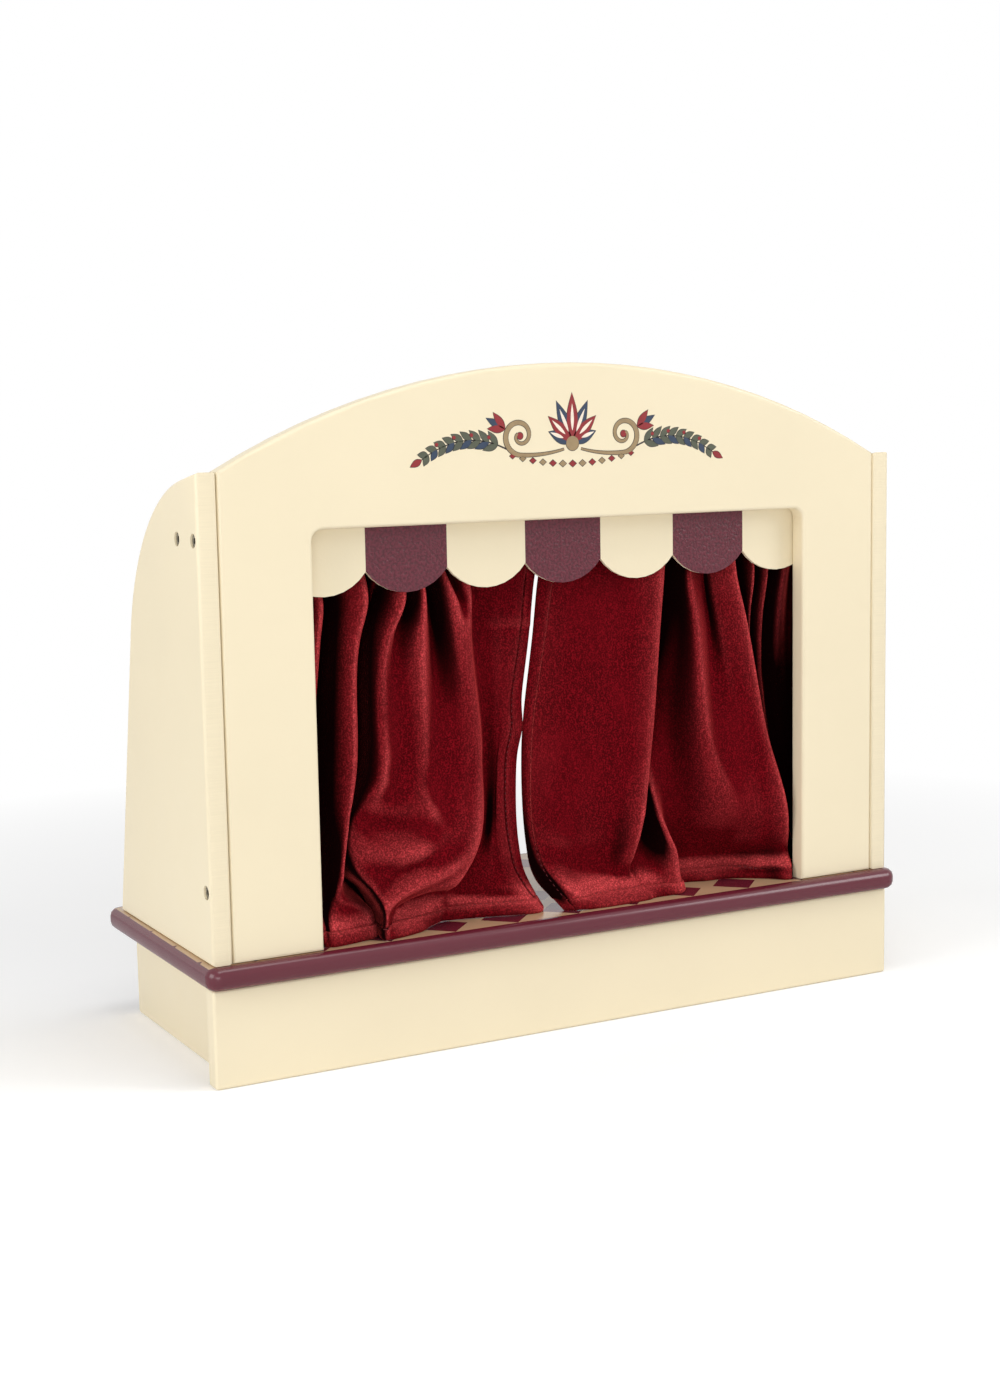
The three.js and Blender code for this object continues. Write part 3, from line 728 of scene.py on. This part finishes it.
# Fold lines down each curtain, from the outer edge to the inner edge. Each has its x and its y at these
# heights, from the rod pocket's foot to the stage. The last three heights are the bend above the hem.
LEVELS_MM = (362, 325, 300, 205, 135, 118, 106, 88)
LEFT_FOLDS = {
    "outer": ((-269, -269, -269, -269, -269, -269, -269, -269),
              (-70, -63, -62, -62, -62, -62, -63, -66)),
    "ridge_1": ((-244, -243, -243, -243, -243, -243, -244, -244),
                (-75, -81, -82, -84, -84, -84, -84, -84)),
    "hollow_1": ((-221, -220, -220, -221, -221, -221, -221, -221),
                 (-69, -56, -54, -54, -55, -57, -59, -64)),
    "ridge_2": ((-199, -191, -195, -204, -205, -205, -205, -204),
                (-75, -82, -84, -84, -84, -84, -84, -85)),
    "hollow_2": ((-183, -180, -182, -190, -194, -195, -196, -198),
                 (-69, -57, -57, -56, -58, -66, -79, -94)),
    "flank_3": ((-172, -170, -175, -181, -189, -190, -188, -187),
                (-71, -78, -79, -79, -83, -84, -87, -96)),
    "ridge_3": ((-162, -159, -166, -172, -184, -184, -168, -163),
                (-75, -84, -85, -85, -90, -87, -83, -90)),
    "hollow_3": ((-152, -145, -151, -157, -177, -163, -153, -152),
                 (-68, -56, -56, -57, -56, -54, -54, -64)),
    "flank_4": ((-144, -140, -148, -155, -174, -157, -151, -151),
                (-72, -74, -77, -79, -72, -59, -60, -74)),
    "ridge_4": ((-132, -128, -140, -149, -170, -160, -157, -156),
                (-75, -84, -85, -84, -88, -93, -95, -98)),
    "hollow_4": ((-122, -118, -129, -133, -152, -151, -152, -151),
                 (-68, -62, -71, -80, -89, -92, -92, -99)),
    "ridge_5": ((-114, -113, -115, -118, -132, -139, -143, -138),
                (-75, -85, -85, -85, -91, -90, -86, -96)),
    "hollow_5": ((-103, -98, -98, -103, -116, -124, -129, -123),
                 (-64, -59, -64, -81, -91, -88, -81, -90)),
    "ridge_6": ((-94, -91, -88, -80, -99, -109, -115, -114),
                (-75, -84, -85, -86, -92, -87, -78, -82)),
    "ridge_7": ((-79, -75, -77, -71, -83, -92, -99, -105),
                (-74, -80, -83, -84, -91, -86, -76, -74)),
    "hollow_7": ((-67, -63, -63, -57, -66, -79, -81, -92),
                 (-67, -63, -64, -63, -64, -65, -66, -71)),
    "panel": ((-46, -43, -44, -48, -53, -54, -56, -62),
              (-71, -67, -68, -68, -69, -70, -71, -77)),
    "seam": ((-25, -28, -31, -46, -45, -41, -36, -25),
             (-72, -69, -69, -69, -71, -72, -75, -86)),
    "inner": ((-12.5, -15.5, -18, -30.5, -30, -27, -22, -12),
              (-73, -68, -67, -66, -66, -66, -65, -66)),
}
RIGHT_FOLDS = {
    "outer": ((269, 269, 269, 269, 269, 269, 269, 269),
              (-70, -63, -62, -62, -62, -62, -63, -66)),
    "ridge_1": ((243, 241, 241, 244, 251, 253, 254, 255),
                (-75, -81, -82, -84, -84, -84, -84, -84)),
    "hollow_1": ((226, 223, 222, 228, 239, 242, 244, 245),
                 (-69, -60, -59, -60, -61, -61, -62, -64)),
    "ridge_2": ((211, 200, 201, 214, 230, 233, 235, 236),
                (-75, -81, -74, -58, -58, -62, -70, -82)),
    "hollow_2": ((199, 196, 196, 207, 223, 226, 228, 229),
                 (-69, -55, -54, -53, -53, -55, -58, -65)),
    "ridge_3": ((190, 185, 186, 199, 216, 219, 221, 222),
                (-75, -81, -74, -58, -58, -62, -68, -80)),
    "hollow_3": ((181, 178, 178, 196, 210, 213, 215, 216),
                 (-69, -58, -57, -54, -54, -56, -60, -67)),
    "ridge_4": ((174, 172, 173, 191, 206, 209, 211, 211),
                (-75, -82, -76, -60, -60, -64, -70, -78)),
    "hollow_4": ((167, 166, 170, 188, 203, 205, 206, 205),
                 (-67, -60, -60, -58, -66, -70, -76, -82)),
    "ridge_5": ((157, 155, 161, 182, 196, 198, 199, 195),
                (-75, -84, -85, -85, -94, -90, -85, -96)),
    "flank_5": ((146, 138, 142, 165, 179, 182, 182, 182),
                (-70, -76, -78, -82, -87, -79, -70, -82)),
    "hollow_5": ((136, 134, 137, 144, 164, 166, 166, 163),
                 (-68, -69, -70, -78, -81, -70, -58, -69)),
    "ridge_6": ((122, 114, 117, 126, 146, 152, 144, 140),
                (-75, -83, -85, -85, -75, -62, -53, -65)),
    "hollow_6": ((116, 110, 111, 104, 106, 111, 111, 116),
                 (-74, -74, -73, -64, -58, -54, -52, -62)),
    "ridge_7": ((111, 107, 107, 86, 86, 92, 95, 99),
                (-68, -66, -65, -56, -86, -89, -88, -90)),
    "hollow_7": ((108, 103, 101, 89, 77, 73, 73, 80),
                 (-64, -55, -54, -53, -66, -74, -78, -91)),
    "ridge_8": ((94, 87, 84, 75, 60, 57, 58, 68),
                (-75, -84, -85, -85, -91, -86, -82, -95)),
    "panel_1": ((60, 56, 54, 46, 40, 40, 42, 52),
                (-72, -77, -79, -80, -79, -75, -76, -97)),
    "panel_2": ((29, 27, 25, 16, 16, 19, 22, 28),
                (-72, -73, -74, -76, -74, -72, -76, -98)),
    "seam": ((2, -2, -6, -21, -19, -15, -9, 3),
             (-72, -70, -70, -70, -72, -76, -82, -94)),
    "inner": ((-9, -12, -14.5, -26, -23, -20, -14, -5),
              (-73, -68, -67, -66, -66, -66, -65, -90)),
}

# Strokes that push the cloth forward or, where the push is negative, back: how far a stroke reaches above and
# below its line, and the line's points, each with its x, its z and the push.
LEFT_STROKES = {
    "swirl_crest": (7, 4.5, (
        (-158, 97, 2), (-156, 104, 5), (-152, 110, 8), (-143, 116, 8), (-134, 120, 8),
        (-124, 123, 8), (-112, 126, 7), (-100, 130, 5), (-88, 138, 1),
    )),
    "swirl_crease": (4, 6, (
        (-146, 97, -4), (-135, 103, -8), (-122, 106, -11), (-108, 109, -11), (-96, 109, -9),
        (-84, 106, -3),
    )),
    "crease_over_swirl": (4, 4, (
        (-150, 121, -2), (-140, 129, -4), (-128, 133, -4), (-114, 136, -1),
    )),
    "belly_ridge": (9, 7, (
        (-168, 148, 2), (-155, 145, 4), (-140, 144, 5), (-126, 146, 3), (-112, 150, 1),
    )),
    "belly_crease": (8, 7, (
        (-170, 174, -2), (-157, 166, -5), (-142, 162, -6), (-128, 162, -5), (-113, 158, -2),
    )),
    "belly_side": (6, 6, (
        (-118, 186, 1), (-112, 172, 3), (-106, 158, 1),
    )),
    "drop_over_belly": (6, 6, (
        (-147, 235, 1), (-147, 215, 4), (-150, 198, 4), (-158, 184, 1),
    )),
    "gather_right": (4, 4, (
        (-88, 346, -16), (-84, 334, -15), (-80, 322, -9), (-78, 306, 0),
    )),
    "gather_left": (3.5, 3.5, (
        (-138, 338, -13), (-143, 324, -10), (-152, 304, 0),
    )),
    "seam_under_pocket": (5, 1.8, (
        (-66, 302, 0.6), (-40, 301, 0.7), (-20, 300, 0.7),
    )),
    "crease_over_hem": (3, 4, (
        (-90, 104, -1), (-70, 101, -2), (-45, 99, -2), (-28, 99, -1),
    )),
}
RIGHT_STROKES = {
    "crease_over_hem": (8, 7, (
        (-14, 132, -1), (0, 121, -3), (14, 111, -3), (38, 101, -3), (56, 97, -1),
    )),
    "fold_over_foot": (5, 6, (
        (70, 153, 1), (84, 138, 3), (91, 120, 4), (94, 104, 2),
    )),
    "foot_crease": (5, 5, (
        (60, 112, -3), (62, 100, -6), (66, 94, -3),
    )),
    "hem_band": (7, 3, (
        (118, 98, 3), (139, 96, 6), (166, 95, 6), (193, 96, 5), (210, 97, 3),
    )),
}


# The left curtain's inner edge swings across and meets the other, at a height and with a reach up and down.
# The shift fades out between two distances from the edge.
SWING_Z_MM = 224
SWING_REACH_MM = 15
SWING_SHIFT_MM = 3.6
SWING_FADE_MM = (6, 40)


def slopes(points, knots):
    """Tangents for a smooth curve through points at uneven knots. Axis 0 runs along the curve."""
    step = np.diff(knots)[:, None, None]
    rise = np.diff(points, axis=0) / step
    before, after = step[:-1], step[1:]
    inner = (rise[:-1] * after + rise[1:] * before) / (after + before)
    return np.concatenate([rise[:1], inner, rise[-1:]])


def through(points, knots, at):
    """Values at the given places of a smooth curve through points. Axis 0 runs along the curve."""
    tangents = slopes(points, knots)
    index = np.clip(np.searchsorted(knots, at, side="right") - 1, 0, len(knots) - 2)
    width = knots[index + 1] - knots[index]
    u = ((at - knots[index]) / width)[:, None, None]
    width = width[:, None, None]
    a, b, ta, tb = points[index], points[index + 1], tangents[index], tangents[index + 1]
    return (
        (2 * u**3 - 3 * u**2 + 1) * a
        + (u**3 - 2 * u**2 + u) * width * ta
        + (3 * u**2 - 2 * u**3) * b
        + (u**3 - u**2) * width * tb
    )


def smooth_step(value, low, high):
    t = np.clip((value - low) / (high - low), 0, 1)
    return t * t * (3 - 2 * t)


def bell(distance, reach):
    """1 where the distance is 0, falling away on both sides."""
    return np.exp(-((distance / reach) ** 2))


def softened(grid, steps):
    """The grid after each of its points was drawn towards its neighbours, a number of times."""
    grid = grid.copy()
    for _ in range(steps):
        grid[1:-1] = (grid[:-2] + 2 * grid[1:-1] + grid[2:]) / 4
        grid[:, 1:-1] = (grid[:, :-2] + 2 * grid[:, 1:-1] + grid[:, 2:]) / 4
    return grid


def stepped(length, step, start_hem):
    """Places along a length that ends in a hem, close together in the hem and evenly spaced elsewhere."""
    hem = np.array(HEM_LINES_MM)
    start = hem if start_hem else hem[:1]
    end = length - hem[::-1]
    count = int(round((end[0] - start[-1]) / step))
    return np.concatenate([start, np.linspace(start[-1], end[0], count + 1)[1:-1], end])


def cloth_grid(folds):
    """The middle surface of one curtain as a grid of rows down and columns across, from the outer edge to the
    inner edge, with each row's and each column's distance along the cloth."""
    net = np.array([[(x, y, z) for x, y, z in zip(xs, ys, LEVELS_MM)] for xs, ys in folds.values()], float)
    net = net.transpose(1, 0, 2)
    net[-1, :, 2] = STAGE_TOP_MM + FOOT_LIFT_MM
    # The cloth's end behind, then the pocket around the rod, then the hanging cloth
    tail = net[0].copy()
    tail[:, 1] += TAIL_BEHIND_MM
    tail[:, 2] -= TAIL_DROP_MM
    pocket = []
    for angle in np.radians(POCKET_ANGLES):
        row = net[0].copy()
        row[:, 1] = ROD_Y_MM + POCKET_RADIUS_MM * np.cos(angle)
        row[:, 2] = ROD_Z_MM + POCKET_RADIUS_MM * np.sin(angle)
        pocket.append(row)
    net = np.concatenate([[tail], pocket, net])
    steps = np.linalg.norm(np.diff(net, axis=0), axis=2).mean(axis=1)
    down = np.concatenate([[0], np.cumsum(steps)])
    rows = stepped(down[-1], down[-1] / CLOTH_ROWS, False)
    surface = through(net, down, rows).transpose(1, 0, 2)
    gaps = np.linalg.norm(np.diff(surface, axis=0), axis=2).mean(axis=1)
    across = np.concatenate([[0], np.cumsum(gaps)])
    columns = stepped(across[-1], CLOTH_STEP_MM, True)
    return through(surface, across, columns).transpose(1, 0, 2), rows, columns


def grid_normals(surface, sign):
    """Directions that point forward from the cloth. sign is -1 for the left curtain, 1 for the right one."""
    down = np.gradient(surface, axis=0)
    across = np.gradient(surface, axis=1)
    normal = np.cross(across, down) * sign
    return normal / np.maximum(np.linalg.norm(normal, axis=2, keepdims=True), 1e-9)


def cloth_mesh(name, front, back):
    """One closed skin from a front and a back grid."""
    rows, columns, _ = front.shape
    points = np.concatenate([front.reshape(-1, 3), back.reshape(-1, 3)]) * MM
    count = rows * columns
    index = np.arange(count).reshape(rows, columns)
    quads = np.stack([index[:-1, :-1], index[1:, :-1], index[1:, 1:], index[:-1, 1:]], axis=-1).reshape(-1, 4)
    faces = [quads, quads[:, ::-1] + count]
    rim = np.concatenate([index[0, :], index[1:, -1], index[-1, -2::-1], index[-2:0:-1, 0]])
    following = np.roll(rim, -1)
    faces.append(np.stack([rim, following, following + count, rim + count], axis=1))
    mesh = bpy.data.meshes.new(name)
    mesh.from_pydata(points.tolist(), [], np.concatenate(faces).tolist())
    mesh.validate()
    mesh.shade_smooth()
    return add_object(name, mesh)


def press(surface, above, below, line):
    """Moves the cloth along y on both sides of a line drawn over it, where it isn't hidden deep in a fold."""
    place = surface[..., [0, 2]]
    nearest = np.full(place.shape[:2], np.inf)
    push = np.zeros(place.shape[:2])
    over = np.zeros(place.shape[:2], bool)
    line = np.array(line, float)
    for start, end in zip(line[:-1], line[1:]):
        run = end[:2] - start[:2]
        t = np.clip(((place - start[:2]) @ run) / (run @ run), 0, 1)
        gap = place - (start[:2] + t[..., None] * run)
        distance = np.linalg.norm(gap, axis=2)
        closer = distance < nearest
        nearest = np.where(closer, distance, nearest)
        push = np.where(closer, start[2] + (end[2] - start[2]) * t, push)
        over = np.where(closer, run[0] * gap[..., 1] - run[1] * gap[..., 0] > 0, over)
    in_front = smooth_step(-surface[..., 1], *STROKE_DEPTH_MM)
    surface[..., 1] -= push * bell(nearest, np.where(over, above, below)) * in_front


def painted_lighting(surface):
    """Painted light and shade: how much of the room in front each point of the cloth sees past the folds and
    the plate beside it, with a painted shadow from the plate and painted light at the foot.
    """
    seen = np.ones(surface.shape[:2])
    for row, line in enumerate(surface):
        x, y = line[:, 0], line[:, 1]
        aside = x[None, :] - x[:, None]
        ahead = y[:, None] - y[None, :]
        angle = np.arctan2(np.abs(aside), ahead)
        angle = np.where(ahead > LEAST_AHEAD_MM, angle, math.pi / 2)
        left = np.where(aside < 0, angle, math.pi / 2).min(axis=1)
        right = np.where(aside > 0, angle, math.pi / 2).min(axis=1)
        depth = y - PRINT_FACE_MM
        left = np.minimum(left, np.arctan2(np.maximum(x + OPENING_HALF_MM, 0), depth))
        right = np.minimum(right, np.arctan2(np.maximum(OPENING_HALF_MM - x, 0), depth))
        seen[row] = (np.sin(left) + np.sin(right)) / 2
    # Painted shadow of the plate on the cloth beside the opening, low down
    beside_opening = np.abs(surface[..., 0]) > OPENING_HALF_MM
    seen *= 1 - PLATE_SHADE * beside_opening * (1 - smooth_step(surface[..., 2], *PLATE_SHADE_MM))
    # Painted light on the cloth's foot
    seen = np.minimum(seen + FOOT_GAIN * (1 - smooth_step(surface[..., 2], *FOOT_GAIN_MM)), 1)
    return softened(seen, 2)


def painted_highlight(surface, normal):
    """Painted highlight from 0 to 1, on ridges, on cloth that faces up and where it bends out above the hem.
    """
    lift = ((surface - softened(surface, RIDGE_STEPS)) * normal).sum(axis=2)
    toward_right = RIDGE_LEAST + (1 - RIDGE_LEAST) * smooth_step(normal[..., 0], *RIDGE_TURN)
    ridge = RIDGE_HIGHLIGHT * np.clip(lift / RIDGE_RISE_MM, 0, 1) * toward_right
    up = FACING_UP_HIGHLIGHT * smooth_step(normal[..., 2], *FACING_UP_TURN)
    bend = BEND_HIGHLIGHT * bell(surface[..., 2] - BEND_Z_MM, BEND_REACH_MM)
    bend *= smooth_step(normal[..., 2], *BEND_TURN)
    return np.clip(ridge + up + bend, 0, 1)


def paint_attribute(piece, name, values, sign):
    """Stores one value for each point of the cloth, on its front and its back."""
    values = (values if sign < 0 else values[:, ::-1]).reshape(-1)
    attribute = piece.data.attributes.new(name, "FLOAT", "POINT")
    attribute.data.foreach_set("value", np.concatenate([values, values]).astype(np.float32))


def unit(direction):
    return direction / max(np.linalg.norm(direction), 1e-9)


def stitch_row(line, outward):
    """Short arched stitches along a line of points. outward points away from the cloth at each point."""
    distance = np.concatenate([[0], np.cumsum(np.linalg.norm(np.diff(line, axis=0), axis=1))])

    def at(values, place):
        return np.array([np.interp(place, distance, values[:, axis]) for axis in range(3)])

    turns = np.radians(np.arange(0, 360, 360 / STITCH_SIDES))[:, None]
    stitches = []
    for start in np.arange(1.0, distance[-1] - STITCH_MM, STITCH_MM + STITCH_GAP_MM):
        rings = []
        for share, lift, radius in STITCH_RINGS:
            place = start + STITCH_MM * share
            up = unit(at(outward, place))
            ahead = at(line, min(place + 0.5, distance[-1])) - at(line, max(place - 0.5, 0))
            aside = unit(np.cross(ahead, up))
            centre = at(line, place) + up * STITCH_RADIUS_MM * (0.2 + 0.7 * lift)
            rings.append(centre + STITCH_RADIUS_MM * radius * (np.cos(turns) * aside + np.sin(turns) * up))
        stitches.append(rings)
    return stitches


def add_stitches(word, stitches, material):
    points, faces = [], []
    for rings in stitches:
        first, sides = len(points), STITCH_SIDES
        for ring in rings:
            points += [tuple(p * MM) for p in ring]
        for level in range(len(rings) - 1):
            low = first + level * sides
            high = low + sides
            for i in range(sides):
                after = (i + 1) % sides
                faces.append((low + i, low + after, high + after, high + i))
        faces.append([first + i for i in reversed(range(sides))])
        faces.append([first + (len(rings) - 1) * sides + i for i in range(sides)])
    mesh = bpy.data.meshes.new(f"stitches_{word}")
    mesh.from_pydata(points, [], faces)
    mesh.shade_smooth()
    mesh.materials.append(material)
    piece = add_object(f"stitches_{word}", mesh)
    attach(piece, "theater")
    return piece


def hem_stitches(front, back, normal, rows, columns):
    """Stitches along the hems' inner edge, on both faces of the cloth: down each side and along the foot."""

    def nearest(places, place):
        return int(np.argmin(np.abs(places - place)))

    top = nearest(rows, STITCHES_FROM_MM)
    foot = nearest(rows[-1] - rows, HEM_WIDTH_MM)
    outer = nearest(columns, HEM_WIDTH_MM)
    inner = nearest(columns[-1] - columns, HEM_WIDTH_MM)
    stitches = []
    for face, outward in ((front, normal), (back, -normal)):
        stitches += stitch_row(face[top:foot, outer], outward[top:foot, outer])
        stitches += stitch_row(face[top:foot, inner], outward[top:foot, inner])
        stitches += stitch_row(face[foot, outer:inner], outward[foot, outer:inner])
    return stitches


def pleats(rows, columns, from_edge):
    """How far the small pleats below the rod stand out."""
    phase = 2 * math.pi * columns / PLEAT_SPACING_MM
    for share, length in PLEAT_DRIFTS:
        phase = phase + share * np.sin(columns / length)
    fade = 1 - smooth_step(rows, *PLEAT_FADE_MM)[:, None]
    return PLEAT_RISE_MM * np.sin(phase)[None, :] * fade * smooth_step(from_edge, *PLEAT_CALM_MM)


def half_thickness(from_edge, from_foot):
    """Thicker in the hems, and rounded at the rim."""
    low, high = (HEM_WIDTH_MM + slope for slope in HEM_SLOPE_MM)
    in_hem = np.maximum(1 - smooth_step(from_edge, low, high), 1 - smooth_step(from_foot, low, high))
    half = CLOTH_HALF_MM + (HEM_HALF_MM - CLOTH_HALF_MM) * in_hem
    rim = np.clip(np.minimum(from_edge, from_foot) / HEM_HALF_MM, 0, 1)
    return half * np.sqrt(np.clip(1 - (1 - rim) ** 2, RIM_LEAST, 1))


def add_curtain(word, folds, strokes, sign, material, thread):
    """Makes one curtain with its stitches. sign is -1 for the left one and 1 for the right one."""
    surface, rows, columns = cloth_grid(folds)
    for stroke in strokes.values():
        press(surface, *stroke)
    normal = grid_normals(surface, sign)
    from_edge = np.minimum(columns, columns[-1] - columns)[None, :]
    from_foot = (rows[-1] - rows)[:, None]
    if sign < 0:
        near_edge = 1 - smooth_step(columns[-1] - columns, *SWING_FADE_MM)[None, :]
        surface[..., 0] += SWING_SHIFT_MM * bell(surface[..., 2] - SWING_Z_MM, SWING_REACH_MM) * near_edge
    seam = np.maximum(*(bell(place - HEM_WIDTH_MM, SEAM_REACH_MM) for place in (from_edge, from_foot)))
    relief = pleats(rows, columns, from_edge) - SEAM_DEPTH_MM * seam
    surface = surface + normal * relief[..., None]
    normal = grid_normals(surface, sign)
    thickness = normal * half_thickness(from_edge, from_foot)[..., None]
    front, back = surface + thickness, surface - thickness
    for face in (front, back):
        face[..., 2] = np.maximum(face[..., 2], STAGE_TOP_MM + LEAST_LIFT_MM)
    if sign < 0:
        piece = cloth_mesh(f"velvet_{word}", front, back)
    else:
        piece = cloth_mesh(f"velvet_{word}", front[:, ::-1], back[:, ::-1])
    piece.data.materials.append(material)
    # Painted shade on cloth turned to the left and along the seams, on top of the painted shade in the folds
    least = LEFT_LOW + (LEFT_HIGH - LEFT_LOW) * smooth_step(surface[..., 2], *LEFT_MM)
    painted_left_shade = least + (1 - least) * smooth_step(normal[..., 0], *LEFT_TURN)
    paint_attribute(piece, "painted_lighting", painted_lighting(surface) * painted_left_shade * (1 - SEAM_SHADE * seam), sign)
    paint_attribute(piece, "painted_highlight", painted_highlight(surface, normal), sign)
    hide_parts(f"curtain_{word}")
    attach(piece, "theater")
    sewn = add_stitches(word, hem_stitches(front, back, normal, rows, columns), thread)
    for part in (piece, sewn):
        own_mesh(part)


add_camera()
add_world()
add_floor()
for name, settings in LAMPS.items():
    add_lamp(name, *settings)
dress_model()
add_ornament()
velvet, thread = velvet_cloth(), thread_material()
add_curtain("left", LEFT_FOLDS, LEFT_STROKES, -1, velvet, thread)
add_curtain("right", RIGHT_FOLDS, RIGHT_STROKES, 1, velvet, thread)

bpy.context.scene.view_settings.view_transform = "Standard"

bpy.context.view_layer.update()
